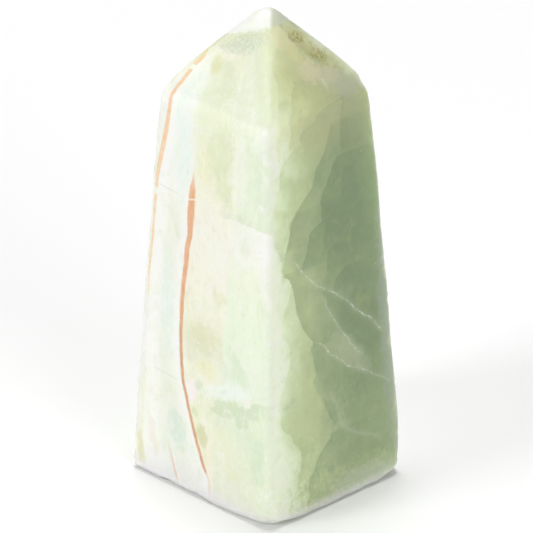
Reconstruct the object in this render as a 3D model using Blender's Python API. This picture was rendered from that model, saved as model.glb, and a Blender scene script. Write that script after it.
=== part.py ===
"""A pistachio calcite tower: one polished stone with four tapering sides, a four-sided point and a flat base.

The stone is the space behind nine flat cuts, with the edges between them rounded by tumbling and wear. Its
surface is found by walking outwards from an upright spine until that space ends. Metres, +Z up, standing on
its base, with the origin in the middle of the base.
"""

import math

import bmesh
import bpy
import numpy as np

# Driving dimensions, in metres
SHOULDER_HEIGHT = 0.0837
EDGE_ROUND = 0.0012
RIM_ROUND = 0.0014
TIP_ROUND = 0.0032
FACE_CROWN = 0.00014

# The sides: compass facing and backward lean in degrees, and reach from the spine at the base
SIDE_CUTS = (
    (-89.7, 2.98, 0.01889),
    (-1.4, 3.91, 0.01953),
    (88.9, 3.32, 0.01864),
    (179.0, 2.59, 0.01948),
)

# The facets of the point: facing, lean, and reach from the spine at the shoulder's height
TIP_CUTS = (
    (-90.7, 37.2, 0.01410),
    (-2.8, 38.6, 0.01395),
    (90.2, 37.9, 0.01418),
    (180.9, 37.7, 0.01523),
)

# Worn corners and nicks in the rim: x, y, z, how far the wear spreads, and how much wider it rounds the edge
WORN_SPOTS = (
    (0.0193, 0.0182, 0.0000, 0.0060, 0.0020),
    (0.0191, -0.0190, 0.0000, 0.0045, 0.0042),
    (0.0137, 0.0132, 0.0845, 0.0030, 0.0012),
    (-0.0155, -0.0147, 0.0830, 0.0030, 0.0006),
    (-0.0152, 0.0137, 0.0838, 0.0030, 0.0008),
    (-0.0098, -0.0189, 0.0000, 0.0020, 0.0010),
    (-0.0020, -0.0189, 0.0000, 0.0022, 0.0007),
    (0.0118, -0.0190, 0.0000, 0.0020, 0.0010),
    (0.0053, 0.0186, 0.0000, 0.0025, 0.0012),
    (-0.0195, 0.0070, 0.0000, 0.0022, 0.0010),
)

# The wear comes and goes along the edges in waves: radians per metre along x, y and z, and phase
EDGE_WAVE = 0.0002
EDGE_WAVES = ((90.0, -70.0, 260.0, 0.0),)
RIM_WAVE = 0.00015
RIM_WAVES = ((830.0, 0.0, 0.0, 1.1), (0.0, 910.0, 0.0, 0.4), (410.0, -410.0, 0.0, 2.0))
RIM_FADE = (0.002, 0.007)
TIP_FADE = (0.090, 0.099)

# The crown is the slight swell of each side, fullest at this share of the shoulder's height
CROWN_MIDDLE = 0.45

# The sole is ground flat between its four corners, and rises by a hair from there to the rim
SOLE_RISE = 0.00003
SOLE_CORNER = 0.99

# Rays leave the spine level, but for the rim and the point, where they fan out from its two ends
SPINE_FOOT = 0.012
SPINE_SHOULDER = 0.080
SPINE_SEARCH = 0.020
REACH_LIMIT = 0.05
HALVINGS = 40

QUARTER_COLUMNS = 20
COLUMNS = 4 * QUARTER_COLUMNS
COLUMN_CROWDING = 0.8
RIM_ROWS = 3
FOOT_ROWS = 8
BODY_ROWS = 10
TIP_ROWS = 13


def cut(facing, lean, reach, height):
    """A flat cut, as its outward normal and its distance from the origin."""
    turn, tilt = math.radians(facing), math.radians(lean)
    level = np.array([math.cos(turn), math.sin(turn), 0.0])
    up = np.array([0.0, 0.0, 1.0])
    normal = level * math.cos(tilt) + up * math.sin(tilt)
    return normal, float(normal @ (level * reach + up * height))


SIDES = [cut(*values, 0.0) for values in SIDE_CUTS]
TIPS = [cut(*values, SHOULDER_HEIGHT) for values in TIP_CUTS]
BASE = [(np.array([0.0, 0.0, -1.0]), -SOLE_RISE)]


def height_over(points, cuts):
    """How far each point is in front of each cut."""
    return np.stack([points @ normal - distance for normal, distance in cuts], axis=-1)


def fade(value, start, end):
    """0 before start, 1 after end, and a smooth step between them."""
    t = np.clip((value - start) / (end - start), 0.0, 1.0)
    return t * t * (3.0 - 2.0 * t)


def ripple(points, waves):
    return sum(np.sin(points @ np.array(wave[:3]) + wave[3]) for wave in waves)


def edge_width(points):
    """The width of the rounding on an edge, which differs from place to place."""
    z = points[..., 2]
    width = EDGE_ROUND + EDGE_WAVE * ripple(points, EDGE_WAVES)
    rim = RIM_ROUND + RIM_WAVE * ripple(points, RIM_WAVES)
    width = rim + (width - rim) * fade(z, *RIM_FADE)
    width = width + (TIP_ROUND - width) * fade(z, *TIP_FADE)
    for x, y, z, spread, extra in WORN_SPOTS:
        away = ((points - np.array([x, y, z])) ** 2).sum(axis=-1)
        width = width + extra * np.exp(-away / spread**2)
    return width


def stone(points):
    """Negative inside the worn stone, zero on its surface."""
    swell = FACE_CROWN * ((points[..., 2] / SHOULDER_HEIGHT - CROWN_MIDDLE) / (1.0 - CROWN_MIDDLE)) ** 2
    over = height_over(points, SIDES + TIPS + BASE)
    over[..., : len(SIDES)] += swell[..., None]
    width = edge_width(points)
    near = np.maximum(over + width[..., None], 0.0)
    return np.where(near.any(axis=-1), np.sqrt((near**2).sum(axis=-1)) - width, over.max(axis=-1))


def sharp_sides(points):
    return height_over(points, SIDES).max(axis=-1)


def sharp_tip(points):
    return height_over(points, TIPS).max(axis=-1)


def reach_of(shape, starts, ways, limit=REACH_LIMIT):
    """How far along each way from its start the shape's surface lies."""
    low = np.zeros(starts.shape[:-1])
    high = np.full(starts.shape[:-1], limit)
    for _ in range(HALVINGS):
        middle = (low + high) / 2.0
        beyond = shape(starts + ways * middle[..., None]) > 0.0
        high = np.where(beyond, middle, high)
        low = np.where(beyond, low, middle)
    return (low + high) / 2.0


def compass(columns):
    """Level directions all round, crowded together where the four upright edges are."""
    even = np.arange(columns) * math.tau / columns
    turn = even + COLUMN_CROWDING / 4.0 * np.sin(4.0 * even)
    return np.stack([np.cos(turn), np.sin(turn), np.zeros(columns)], axis=-1)


def shoulder_line(ways, up):
    """The height at which each column crosses from its side to the point, and its reach there."""

    def past_shoulder(spine):
        out = spine + ways * reach_of(sharp_sides, spine, ways)[:, None]
        return sharp_tip(out)

    start = up * (SHOULDER_HEIGHT - SPINE_SEARCH)
    height = SHOULDER_HEIGHT - SPINE_SEARCH + reach_of(past_shoulder, start, up)
    return height, reach_of(sharp_sides, up * height[:, None], ways)


def crowd_start(count):
    """Fractions from just over 0 to 1 that crowd together towards 0."""
    return (np.arange(1, count + 1) / count) ** 2


def crowd_both(count):
    """Fractions from 0 to just under 1 that crowd together at both ends."""
    return 0.5 - 0.5 * np.cos(math.pi * np.arange(count) / count)


def skin():
    """The corners of the sole, rings of points from there to just under the tip, and the tip itself."""
    ways = compass(COLUMNS)
    up = np.zeros_like(ways) + np.array([0.0, 0.0, 1.0])
    foot = ways * reach_of(sharp_sides, np.zeros_like(ways), ways)[:, None]
    sole_height = up * 2.0 * SOLE_RISE
    sole = ways * reach_of(stone, sole_height, ways)[:, None]
    shoulder, shoulder_reach = shoulder_line(ways, up)
    apex = SPINE_SHOULDER + reach_of(sharp_tip, up[:1] * SPINE_SHOULDER, up[:1])[0]

    starts, aims = [], []
    for share in np.arange(RIM_ROWS) / RIM_ROWS:
        starts.append(up * SPINE_FOOT)
        aims.append((sole + sole_height) * (1.0 - share) + foot * share)
    for share in crowd_start(FOOT_ROWS):
        starts.append(up * SPINE_FOOT)
        aims.append(foot + up * SPINE_FOOT * share)
    for share in 1.0 - crowd_start(BODY_ROWS)[-2::-1]:
        spine = up * (SPINE_FOOT + (shoulder - SPINE_FOOT) * share)[:, None]
        starts.append(spine)
        aims.append(spine + foot)
    for share in crowd_both(TIP_ROWS):
        starts.append(up * (shoulder + (SPINE_SHOULDER - shoulder) * share)[:, None])
        rise = shoulder + (apex - shoulder) * share
        aims.append(ways * (shoulder_reach * (1.0 - share))[:, None] + up * rise[:, None])

    starts = np.array(starts)
    paths = np.array(aims) - starts
    paths /= np.linalg.norm(paths, axis=-1, keepdims=True)
    rings = starts + paths * reach_of(stone, starts, paths)[..., None]
    tip = up[0] * (SPINE_SHOULDER + reach_of(stone, up[:1] * SPINE_SHOULDER, up[:1])[0])
    corners = sole[QUARTER_COLUMNS // 2 :: QUARTER_COLUMNS] * SOLE_CORNER
    return corners, rings, tip


def tower_mesh(name):
    """One closed mesh: the flat sole, a strip from it to the first ring, the bands, and a fan at the tip."""
    corners, rings, tip = skin()
    middle = (rings.min(axis=(0, 1)) + rings.max(axis=(0, 1))) / 2.0
    origin = np.array([middle[0], middle[1], 0.0])
    shape = bmesh.new()
    square = [shape.verts.new(point - origin) for point in corners]
    loops = [[shape.verts.new(point - origin) for point in ring] for ring in rings]
    top = shape.verts.new(tip - origin)
    shape.faces.new(square[::-1])
    for i in range(COLUMNS):
        j = (i + 1) % COLUMNS
        here, there = square[i // QUARTER_COLUMNS], square[j // QUARTER_COLUMNS]
        if here is there:
            shape.faces.new((here, loops[0][j], loops[0][i]))
        else:
            shape.faces.new((here, there, loops[0][j], loops[0][i]))
        for lower, upper in zip(loops, loops[1:]):
            shape.faces.new((lower[i], lower[j], upper[j], upper[i]))
        shape.faces.new((loops[-1][i], loops[-1][j], top))
    mesh = bpy.data.meshes.new(name)
    shape.to_mesh(mesh)
    shape.free()
    mesh.shade_smooth()
    return mesh


def calcite():
    material = bpy.data.materials.new("pistachio_calcite")
    material.use_nodes = True
    shader = material.node_tree.nodes["Principled BSDF"]
    shader.inputs["Base Color"].default_value = (0.66, 0.76, 0.55, 1.0)
    shader.inputs["Roughness"].default_value = 0.25
    shader.inputs["Metallic"].default_value = 0.0
    return material


def main():
    for item in list(bpy.data.objects):
        bpy.data.objects.remove(item, do_unlink=True)
    tower = bpy.data.objects.new("calcite_tower", tower_mesh("calcite_tower"))
    tower.data.materials.append(calcite())
    bpy.context.scene.collection.objects.link(tower)


main()
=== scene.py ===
import math

import bpy
import numpy as np
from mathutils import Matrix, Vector, noise


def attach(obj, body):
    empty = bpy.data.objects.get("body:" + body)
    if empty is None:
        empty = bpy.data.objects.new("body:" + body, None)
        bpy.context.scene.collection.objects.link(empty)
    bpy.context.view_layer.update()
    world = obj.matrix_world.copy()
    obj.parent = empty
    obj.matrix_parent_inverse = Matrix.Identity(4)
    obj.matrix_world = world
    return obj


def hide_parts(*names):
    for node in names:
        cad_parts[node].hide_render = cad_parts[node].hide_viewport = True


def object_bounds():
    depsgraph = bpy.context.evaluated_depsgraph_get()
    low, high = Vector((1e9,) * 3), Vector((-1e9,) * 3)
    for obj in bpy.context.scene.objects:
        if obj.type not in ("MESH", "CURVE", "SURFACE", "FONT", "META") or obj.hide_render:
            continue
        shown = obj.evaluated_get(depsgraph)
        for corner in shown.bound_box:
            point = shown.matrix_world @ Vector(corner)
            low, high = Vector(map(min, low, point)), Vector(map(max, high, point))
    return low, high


# The frame, and the box that the stone must stay within
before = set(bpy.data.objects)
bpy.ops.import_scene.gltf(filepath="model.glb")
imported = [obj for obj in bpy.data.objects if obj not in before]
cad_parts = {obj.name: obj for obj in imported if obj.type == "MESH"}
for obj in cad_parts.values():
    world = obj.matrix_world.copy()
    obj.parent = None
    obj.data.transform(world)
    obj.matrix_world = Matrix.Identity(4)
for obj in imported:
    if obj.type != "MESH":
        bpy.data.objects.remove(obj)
cad_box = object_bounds()

MM = 0.001

# The form, in metres: the same flat cuts, roundings and worn spots as the solid
SHOULDER_HEIGHT = 0.0837
EDGE_ROUND = 0.0012
RIM_ROUND = 0.0014
TIP_ROUND = 0.0032
FACE_CROWN = 0.00014
SIDE_CUTS = (
    (-89.7, 2.98, 0.01889),
    (-1.4, 3.91, 0.01953),
    (88.9, 3.32, 0.01864),
    (179.0, 2.59, 0.01948),
)
TIP_CUTS = (
    (-90.7, 37.2, 0.01410),
    (-2.8, 38.6, 0.01395),
    (90.2, 37.9, 0.01418),
    (180.9, 37.7, 0.01523),
)
WORN_SPOTS = (
    (0.0193, 0.0182, 0.0000, 0.0060, 0.0020),
    (0.0191, -0.0190, 0.0000, 0.0045, 0.0042),
    (0.0137, 0.0132, 0.0845, 0.0030, 0.0012),
    (-0.0155, -0.0147, 0.0830, 0.0030, 0.0006),
    (-0.0152, 0.0137, 0.0838, 0.0030, 0.0008),
    (-0.0098, -0.0189, 0.0000, 0.0020, 0.0010),
    (-0.0020, -0.0189, 0.0000, 0.0022, 0.0007),
    (0.0118, -0.0190, 0.0000, 0.0020, 0.0010),
    (0.0053, 0.0186, 0.0000, 0.0025, 0.0012),
    (-0.0195, 0.0070, 0.0000, 0.0022, 0.0010),
)
EDGE_WAVE = 0.0002
EDGE_WAVES = ((90.0, -70.0, 260.0, 0.0),)
RIM_WAVE = 0.00015
RIM_WAVES = ((830.0, 0.0, 0.0, 1.1), (0.0, 910.0, 0.0, 0.4), (410.0, -410.0, 0.0, 2.0))
RIM_FADE = (0.002, 0.007)
TIP_FADE = (0.090, 0.099)
CROWN_MIDDLE = 0.45
SOLE_RISE = 0.00003
SPINE_FOOT = 0.012
SPINE_SHOULDER = 0.080
SPINE_SEARCH = 0.020
REACH_LIMIT = 0.05
HALVINGS = 34

# How finely the skin is divided
COLUMNS = 344
COLUMN_CROWDING = 0.6
RIM_ROWS = 10
FOOT_ROWS = 46
BODY_ROWS = 136
TIP_ROWS = 70

# The camera: the photograph's viewing angle, from the outline of the stone
FRAME_PX = 533
PX_PER_MM = 5.1454
CAMERA_AZIMUTH = 45.0
CAMERA_HEIGHT_ANGLE = 26.89
CAMERA_ROLL = 0.29
CAMERA_DISTANCE = 1.250
AIM_HEIGHT = 0.0470
AIM_PX = (267.0, 254.7)
AXIS_OFFSET = (-0.00067, 0.0)
SENSOR = 36.0


def cut(facing, lean, reach, height):
    """A flat cut, as its outward normal and its distance from the origin."""
    turn, tilt = math.radians(facing), math.radians(lean)
    level = np.array([math.cos(turn), math.sin(turn), 0.0])
    up = np.array([0.0, 0.0, 1.0])
    normal = level * math.cos(tilt) + up * math.sin(tilt)
    return normal, float(normal @ (level * reach + up * height))


SIDES = [cut(*values, 0.0) for values in SIDE_CUTS]
TIPS = [cut(*values, SHOULDER_HEIGHT) for values in TIP_CUTS]
BASE = [(np.array([0.0, 0.0, -1.0]), -SOLE_RISE)]


def height_over(points, cuts):
    """How far each point is in front of each cut."""
    return np.stack([points @ normal - distance for normal, distance in cuts], axis=-1)


def fade(value, start, end):
    """0 before start, 1 after end, and a smooth step between them."""
    t = np.clip((value - start) / (end - start), 0.0, 1.0)
    return t * t * (3.0 - 2.0 * t)


def ripple(points, waves):
    return sum(np.sin(points @ np.array(wave[:3]) + wave[3]) for wave in waves)


def edge_width(points):
    """The width of the rounding on an edge, which differs from place to place."""
    z = points[..., 2]
    width = EDGE_ROUND + EDGE_WAVE * ripple(points, EDGE_WAVES)
    rim = RIM_ROUND + RIM_WAVE * ripple(points, RIM_WAVES)
    width = rim + (width - rim) * fade(z, *RIM_FADE)
    width = width + (TIP_ROUND - width) * fade(z, *TIP_FADE)
    for x, y, z, spread, extra in WORN_SPOTS:
        away = ((points - np.array([x, y, z])) ** 2).sum(axis=-1)
        width = width + extra * np.exp(-away / spread**2)
    return width


def stone(points):
    """Negative inside the worn stone, zero on its surface."""
    swell = FACE_CROWN * ((points[..., 2] / SHOULDER_HEIGHT - CROWN_MIDDLE) / (1.0 - CROWN_MIDDLE)) ** 2
    over = height_over(points, SIDES + TIPS + BASE)
    over[..., : len(SIDES)] += swell[..., None]
    width = edge_width(points)
    near = np.maximum(over + width[..., None], 0.0)
    return np.where(near.any(axis=-1), np.sqrt((near**2).sum(axis=-1)) - width, over.max(axis=-1))


def sharp_sides(points):
    return height_over(points, SIDES).max(axis=-1)


def sharp_tip(points):
    return height_over(points, TIPS).max(axis=-1)


def reach_of(shape, starts, ways, limit=REACH_LIMIT):
    """How far along each way from its start the shape's surface lies."""
    low = np.zeros(starts.shape[:-1])
    high = np.full(starts.shape[:-1], limit)
    for _ in range(HALVINGS):
        middle = (low + high) / 2.0
        beyond = shape(starts + ways * middle[..., None]) > 0.0
        high = np.where(beyond, middle, high)
        low = np.where(beyond, low, middle)
    return (low + high) / 2.0


def compass(columns):
    """Level directions all round, crowded together where the four upright edges are."""
    even = np.arange(columns) * math.tau / columns
    turn = even + COLUMN_CROWDING / 4.0 * np.sin(4.0 * even)
    return np.stack([np.cos(turn), np.sin(turn), np.zeros(columns)], axis=-1)


def shoulder_line(ways, up):
    """The height at which each column crosses from its side to the point, and its reach there."""

    def past_shoulder(spine):
        out = spine + ways * reach_of(sharp_sides, spine, ways)[:, None]
        return sharp_tip(out)

    start = up * (SHOULDER_HEIGHT - SPINE_SEARCH)
    height = SHOULDER_HEIGHT - SPINE_SEARCH + reach_of(past_shoulder, start, up)
    return height, reach_of(sharp_sides, up * height[:, None], ways)


def crowd_start(count):
    """Fractions from just over 0 to 1 that crowd together towards 0."""
    return (np.arange(1, count + 1) / count) ** 1.5


def crowd_both(count):
    """Fractions from 0 to just under 1 that crowd together at both ends."""
    return 0.5 - 0.5 * np.cos(math.pi * np.arange(count) / count)


def skin():
    """Rings of points on the stone, from its sole to just under its tip, and the tip itself."""
    ways = compass(COLUMNS)
    up = np.zeros_like(ways) + np.array([0.0, 0.0, 1.0])
    foot = ways * reach_of(sharp_sides, np.zeros_like(ways), ways)[:, None]
    sole_height = up * 2.0 * SOLE_RISE
    sole = ways * reach_of(stone, sole_height, ways)[:, None]
    shoulder, shoulder_reach = shoulder_line(ways, up)
    apex = SPINE_SHOULDER + reach_of(sharp_tip, up[:1] * SPINE_SHOULDER, up[:1])[0]

    starts, aims = [], []
    for share in np.arange(RIM_ROWS) / RIM_ROWS:
        starts.append(up * SPINE_FOOT)
        aims.append((sole + sole_height) * (1.0 - share) + foot * share)
    for share in crowd_start(FOOT_ROWS):
        starts.append(up * SPINE_FOOT)
        aims.append(foot + up * SPINE_FOOT * share)
    for share in 1.0 - crowd_start(BODY_ROWS)[-2::-1]:
        spine = up * (SPINE_FOOT + (shoulder - SPINE_FOOT) * share)[:, None]
        starts.append(spine)
        aims.append(spine + foot)
    for share in crowd_both(TIP_ROWS):
        starts.append(up * (shoulder + (SPINE_SHOULDER - shoulder) * share)[:, None])
        rise = shoulder + (apex - shoulder) * share
        aims.append(ways * (shoulder_reach * (1.0 - share))[:, None] + up * rise[:, None])

    starts = np.array(starts)
    paths = np.array(aims) - starts
    paths /= np.linalg.norm(paths, axis=-1, keepdims=True)
    rings = starts + paths * reach_of(stone, starts, paths)[..., None]
    tip = up[0] * (SPINE_SHOULDER + reach_of(stone, up[:1] * SPINE_SHOULDER, up[:1])[0])
    return rings, tip


# The relief that wear and polishing left, in mm: how deep, and the size of one swelling
POLISH_WAVES = ((0.040, 11.0), (0.014, 3.0))
EDGE_NICKS = (0.16, 1.5)
RIM_NICKS = (0.30, 2.2)
NICK_START = 0.12
FACET_GRAIN = (0.035, 0.8)

# Pits and chips: place in mm, radius and depth
PITS = (
    (3.3, 0.6, 97.1, 0.9, 0.22),
    (5.0, 0.8, 95.0, 0.7, 0.2),
    (6.6, 1.8, 93.0, 0.8, 0.24),
    (7.6, 2.3, 91.9, 0.6, 0.18),
    (8.5, 3.3, 90.8, 0.7, 0.18),
    (9.1, 5.5, 90.1, 0.7, 0.2),
    (8.1, 6.8, 91.4, 0.6, 0.16),
    (12.8, 12.0, 84.7, 0.9, 0.35),
    (12.4, -18.4, 1.3, 0.8, 0.22),
    (-0.9, -5.7, 94.8, 1.2, 0.08),
    (-2.6, -6.7, 93.5, 1.0, 0.08),
    (-13.6, 6.0, 84.4, 0.8, 0.2),
    (4.0, 14.2, 84.0, 0.9, 0.22),
    (-19.0, -18.0, 4.0, 1.0, 0.2),
    (-16.4, 15.8, 52.0, 0.9, 0.22),
    (17.0, 15.9, 38.0, 0.8, 0.18),
)


def swelling(places, size, seed):
    """Noise from -1 to 1 at each place, with swellings of this size in mm."""
    away = Vector((seed, seed * 0.7, seed * 1.3))
    return np.array([noise.noise(Vector(place) + away) for place in places / size])


def edge_share(points):
    """1 on the crest of an edge and 0 on the flats, from how many cuts are near."""
    width = edge_width(points)
    over = height_over(points, SIDES + TIPS + BASE) + width[..., None]
    near = np.sort(np.maximum(over, 0.0), axis=-1)
    return np.clip(near[..., -2] / (0.6 * width), 0.0, 1.0)


def relief(points):
    """How far in, in mm, wear and pits have taken the surface at each point."""
    places = points / MM
    depth = sum(deep * (0.5 + 0.5 * swelling(places, size, i)) for i, (deep, size) in enumerate(POLISH_WAVES))
    edge = edge_share(points)
    over_rim = fade(points[:, 2], *RIM_FADE)
    for (deep, size), share in ((EDGE_NICKS, over_rim), (RIM_NICKS, 1.0 - over_rim)):
        touched = edge * share > 0.0
        bite = np.maximum(0.0, swelling(places[touched], size, 5.0) - NICK_START) / (1.0 - NICK_START)
        depth[touched] += deep * (edge * share)[touched] * bite
    deep, size = FACET_GRAIN
    point = points[:, 2] > SHOULDER_HEIGHT
    depth[point] += deep * (0.5 + 0.5 * swelling(places[point], size, 9.0))
    for x, y, z, radius, deep in PITS:
        away = ((places - np.array([x, y, z])) ** 2).sum(axis=-1) / radius**2
        near = away < 6.0
        depth[near] += deep * np.exp(-away[near] * (1.0 + 0.6 * swelling(places[near], 0.7, 2.0)))
    return depth


def tower_mesh(name):
    """One closed mesh: a flat cap on the sole, bands between the rings, and a fan at the tip."""
    rings, tip = skin()
    rings[0, :, 2] = 0.0
    low, high = rings.min(axis=(0, 1)), rings.max(axis=(0, 1))
    points = np.vstack([rings.reshape(-1, 3), tip]) - np.append((low[:2] + high[:2]) / 2.0, 0.0)
    here = np.arange(COLUMNS)
    there = np.roll(here, -1)
    lower = np.arange(len(rings) - 1)[:, None] * COLUMNS
    bands = np.stack([lower + here, lower + there, lower + COLUMNS + there, lower + COLUMNS + here], axis=-1)
    last = (len(rings) - 1) * COLUMNS
    fan = [(last + i, last + j, len(points) - 1) for i, j in zip(here.tolist(), there.tolist())]
    mesh = bpy.data.meshes.new(name)
    mesh.from_pydata(points.tolist(), [], [here[::-1].tolist()] + bands.reshape(-1, 4).tolist() + fan)
    normals = np.empty(points.size, np.float32)
    mesh.vertex_normals.foreach_get("vector", normals)
    depth = relief(points)
    depth[:COLUMNS] = 0.0
    points = points - normals.reshape(-1, 3) * depth[:, None] * MM
    points = np.clip(points, np.array(cad_box[0]), np.array(cad_box[1]))
    mesh.vertices.foreach_set("co", points.ravel())
    mesh.update()
    mesh.shade_smooth()
    return mesh


# No surface gives back more than this share of the light
BRIGHTEST = 0.95


def pigment(red, green, blue, light=1.0):
    """The linear colour of a surface that looks like this sRGB colour under so much light."""
    seen = np.array([red, green, blue]) / 255.0
    linear = np.where(seen <= 0.04045, seen / 12.92, ((seen + 0.055) / 1.055) ** 2.4)
    wanted = linear / light
    return tuple(float(c) for c in wanted * min(1.0, BRIGHTEST / wanted.max())) + (1.0,)


class Field:
    """A number, vector or colour that varies over the stone, with arithmetic that adds nodes."""

    def __init__(self, tree, socket):
        self.tree = tree
        self.socket = socket

    def __add__(self, other):
        return calc(self.tree, "ADD", self, other)

    def __sub__(self, other):
        return calc(self.tree, "SUBTRACT", self, other)

    def __rsub__(self, other):
        return calc(self.tree, "SUBTRACT", other, self)

    def __mul__(self, other):
        return calc(self.tree, "MULTIPLY", self, other)

    def __truediv__(self, other):
        return calc(self.tree, "DIVIDE", self, other)

    __radd__ = __add__
    __rmul__ = __mul__


def add_node(tree, kind, output, inputs, **settings):
    """A node with these settings and inputs, as the field of its output."""
    node = tree.nodes.new(kind)
    for name, value in settings.items():
        setattr(node, name, value)
    for key, value in inputs.items():
        if isinstance(value, Field):
            tree.links.new(value.socket, node.inputs[key])
        else:
            node.inputs[key].default_value = value
    return Field(tree, node.outputs[output])


def calc(tree, operation, *values):
    return add_node(tree, "ShaderNodeMath", 0, dict(enumerate(values)), operation=operation)


def largest(a, b):
    return calc(a.tree, "MAXIMUM", a, b)


def size_of(a):
    return calc(a.tree, "ABSOLUTE", a)


def decay(distance, length):
    """1 at no distance, and less by a factor e for each length."""
    return calc(distance.tree, "EXPONENT", largest(distance, 0.0) * (-1.0 / length))


def step(value, start, end, top=1.0):
    """0 at start, top at end, and a smooth step between them, either way up."""
    inputs = {"Value": value, "From Min": start, "From Max": end, "To Max": top}
    return add_node(value.tree, "ShaderNodeMapRange", 0, inputs, interpolation_type="SMOOTHSTEP", clamp=False)


def times_plus(a, b, c):
    return calc(a.tree, "MULTIPLY_ADD", a, b, c)


def scaled(place, amounts):
    """A place with its x, y and z multiplied: 0.5 makes what is drawn there twice as long."""
    return add_node(place.tree, "ShaderNodeMapping", 0, {"Vector": place, "Scale": amounts})


def cloud(place, size, detail=2.0, roughness=0.5, distortion=0.0):
    """Noise from about -1 to 1, with swellings of this size in mm."""
    inputs = {
        "Vector": place, "Scale": 1.0 / size,
        "Detail": detail, "Roughness": roughness, "Distortion": distortion,
    }
    return times_plus(add_node(place.tree, "ShaderNodeTexNoise", 0, inputs), 2.0, -1.0)


def drift(place, size, amount, detail=2.0):
    """Two numbers that wander by up to this many mm over the stone."""
    inputs = {"Vector": place, "Scale": 1.0 / size, "Detail": detail}
    colour = add_node(place.tree, "ShaderNodeTexNoise", 1, inputs)
    parts = [add_node(place.tree, "ShaderNodeSeparateColor", i, {0: colour}) for i in range(2)]
    return [times_plus(part, 2.0 * amount, -amount) for part in parts]


def blend(under, over, share):
    """One colour over another."""
    tree = share.tree
    inputs = {0: share, 6: under, 7: over}
    return add_node(tree, "ShaderNodeMix", 2, inputs, data_type="RGBA", clamp_factor=True)


def ramp(value, stops, face):
    """Pigments for these colours on a face, at values from 0 to 1."""
    field = add_node(value.tree, "ShaderNodeValToRGB", 0, {0: value})
    elements = field.socket.node.color_ramp.elements
    while len(elements) < len(stops):
        elements.new(0.5)
    for element, (position, colour) in zip(elements, stops):
        element.position = position
        element.color = face(*colour)
    return field


def read_curve(value, low, high, points, bottom=0.0, top=1.0, corners="AUTO"):
    """A number read from a curve through these points, whose values lie between bottom and top."""
    share = times_plus(value, 1.0 / (high - low), -low / (high - low))
    field = add_node(value.tree, "ShaderNodeFloatCurve", 0, {"Value": share})
    mapping = field.socket.node.mapping
    mapping.extend = "HORIZONTAL"
    curve = mapping.curves[0]
    while len(curve.points) < len(points):
        curve.points.new(0.5, 0.5)
    for spot, (at, level) in zip(curve.points, points):
        spot.location = ((at - low) / (high - low), (level - bottom) / (top - bottom))
        spot.handle_type = corners
    mapping.update()
    return times_plus(field, top - bottom, bottom)


def route(height, points):
    """A line's course over a face: its level place in mm at each height in mm."""
    return read_curve(height, 0.0, 100.0, points, -20.0, 20.0, "VECTOR")


# Light on the banded side, the terraced side and the tip, as a share of what makes pure white look white
LEFT_LIGHT = 1.0
RIGHT_LIGHT = 0.85
FACET_LIGHT = 1.16


def left(red, green, blue):
    """The pigment that looks like this sRGB colour on the banded side."""
    return pigment(red, green, blue, LEFT_LIGHT)


def right(red, green, blue):
    """The pigment that looks like this sRGB colour on the terraced side."""
    return pigment(red, green, blue, RIGHT_LIGHT)


# The banded faces, where the beds are cut edge on. Courses are given as height and level place in mm
VEIN_1 = (
    (37.4, -16.4), (43.9, -16.4), (50.5, -15.9), (54.8, -15.7), (59.1, -15.5), (64.5, -15.2), (67.9, -14.6),
    (71.2, -13.9), (74.6, -13.3), (78.1, -12.8), (80.3, -12.5), (82.1, -12.5), (82.7, -12.2), (85.1, -11.0),
    (87.1, -10.4), (88.4, -10.0), (89.2, -9.5), (90.2, -9.0),
)
VEIN_2 = (
    (2.1, 2.4), (5.1, 2.2), (6.1, 1.5), (8.2, 0.2), (10.3, -0.7), (12.1, -1.6), (14.2, -2.5), (16.7, -3.4),
    (18.4, -4.1), (21.3, -5.0), (23.6, -5.9), (25.0, -6.2), (28.9, -6.7), (32.9, -7.1), (41.6, -7.1),
    (45.6, -6.8), (48.7, -6.4), (52.1, -6.3), (55.1, -5.7), (60.2, -5.7), (65.3, -5.5), (69.3, -5.3),
    (80.0, -5.6), (92.0, -4.6),
)
VEIN_3 = ((0.7, -6.0), (2.0, -6.5), (4.0, -7.4), (6.5, -8.3), (10.1, -9.8))
RIDGE = (
    (20.0, 3.0), (30.0, 4.4), (40.0, 4.6), (50.0, 5.0), (60.3, 6.1), (63.4, 6.4), (66.6, 6.2), (69.9, 6.0),
    (72.4, 6.1), (75.0, 6.3), (77.4, 6.1), (79.8, 5.7), (82.1, 5.3), (84.0, 4.1), (85.6, 3.5), (87.5, 3.1),
    (89.7, 2.2), (92.3, 1.6),
)

# Half the width of the first two veins, in mm at each height
VEIN_1_WIDTHS = (
    (36.0, 0.1), (45.0, 0.26), (58.0, 0.3), (70.0, 0.52), (82.0, 0.4), (87.0, 0.45), (89.0, 0.65),
)
VEIN_2_WIDTHS = (
    (2.0, 0.14), (5.0, 0.18), (8.0, 0.4), (20.0, 0.34), (30.0, 0.4), (45.0, 0.5), (55.0, 0.62),
    (62.0, 0.86), (66.0, 0.42), (69.5, 0.08),
)

# Gaps in the first vein: height, half width, and how far off it is whole again. And the second vein's crack
VEIN_1_GAPS = ((87.8, 0.25, 0.6), (61.2, 0.3, 1.1))
VEIN_2_CRACK = 62.6

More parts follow.
